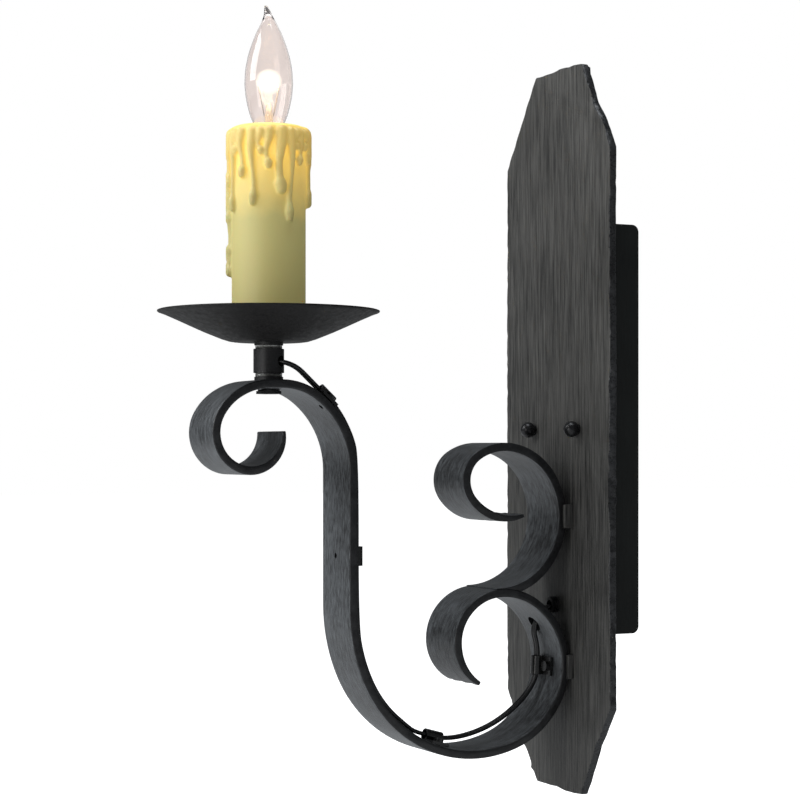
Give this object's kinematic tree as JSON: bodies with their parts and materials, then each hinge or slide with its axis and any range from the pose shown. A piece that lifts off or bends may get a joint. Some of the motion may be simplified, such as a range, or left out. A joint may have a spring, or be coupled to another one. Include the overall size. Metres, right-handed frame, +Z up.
{
  "type": "wall sconce",
  "caption": "Wrought-iron electric wall sconce: tall forged backplate, scrolled flat-bar arm with clipped cord, drip pan, candle sleeve and bent-tip bulb.",
  "frame": {"origin": "centre of the two wall-screw slots, in the plane of the wall behind the wall box", "axes": "+Z up, -Y out into the room, +X to the right for someone facing the wall"},
  "size_m": [0.1446, 0.3209, 0.5247],
  "materials": {
    "plate": "forged, charcoal, satin",
    "arm": "forged, charcoal, satin",
    "box": "black, smooth",
    "pan": "near black, matt",
    "fitting": "black, turned",
    "zinc": "zinc plated",
    "ball": "black, smooth",
    "green": "green earth screw",
    "clip": "black, thin sheet",
    "clip_screw": "black screws",
    "cord": "black twin lead",
    "relief": "black moulded",
    "lead": "insulated wire",
    "wirenut": "orange moulded",
    "socket": "black phenolic",
    "brass": "brass",
    "sleeve": "cream drip wax look",
    "bulb_shell": "bright",
    "insulator": "black glass insulator",
    "glass": "clear, thin",
    "bulb_wire": "fine wire",
    "filament": "hot filament"
  },
  "bodies": {
    "frame": {"backplate": "plate", "wall_box": "box", "mounting_strap": "zinc", "strap_studs": "zinc", "strap_nuts": "zinc", "ground_screw": "green", "cord_clip_top": "clip", "cord_clip_leg": "clip", "cord_clip_bottom": "clip", "cord_clip_wall": "clip", "clip_screws": "clip_screw", "main_arm": "arm", "upper_scroll": "arm", "upper_standoff": "arm", "lower_standoff": "arm", "lower_check_ring": "fitting", "upper_check_ring": "fitting", "coupling": "fitting", "arm_nipple": "zinc", "arm_washer": "zinc", "arm_nut": "zinc", "riser_tube": "zinc", "drip_pan": "pan", "pan_nut": "zinc", "socket_cup": "zinc", "socket_body": "socket", "socket_shell": "brass", "socket_contact": "brass", "strain_relief": "relief", "power_cord": "cord", "box_leads": "lead", "wire_nuts": "wirenut"},
    "sleeve": {"candle_sleeve": "sleeve"},
    "nut_left": {"ball_nut_left": "ball"},
    "nut_right": {"ball_nut_right": "ball"},
    "bulb_base": {"bulb_shell": "bulb_shell", "bulb_insulator": "insulator", "bulb_contact": "brass"},
    "bulb_glass": {"bulb_envelope": "glass", "bulb_stem": "glass", "bulb_lead_wires": "bulb_wire", "bulb_filament": "filament"}
  },
  "joints": [
    {"name": "sleeve_lift", "type": "slide", "parent": "frame", "child": "sleeve", "axis": [0, 0, 1], "range_m": [0, 0.22]},
    {"name": "bulb_rise", "type": "slide", "parent": "frame", "child": "bulb_base", "axis": [0, 0, 1], "range_m": [0, 0.0089]},
    {"name": "bulb_turn", "type": "hinge", "parent": "bulb_base", "child": "bulb_glass", "pos_m": [0, -0.2486, 0.2], "axis": [0, 0, 1], "range_deg": [0, 1260]},
    {"name": "nut_left_turn", "type": "hinge", "parent": "frame", "child": "nut_left", "pos_m": [-0.03, -0.0385, 0], "axis": [0, -1, 0], "continuous": true},
    {"name": "nut_right_turn", "type": "hinge", "parent": "frame", "child": "nut_right", "pos_m": [0.03, -0.0385, 0], "axis": [0, -1, 0], "continuous": true}
  ],
  "couplings": [
    {"joint": "bulb_rise", "follows": "bulb_turn", "m_per_rad": 0.00040425}
  ]
}
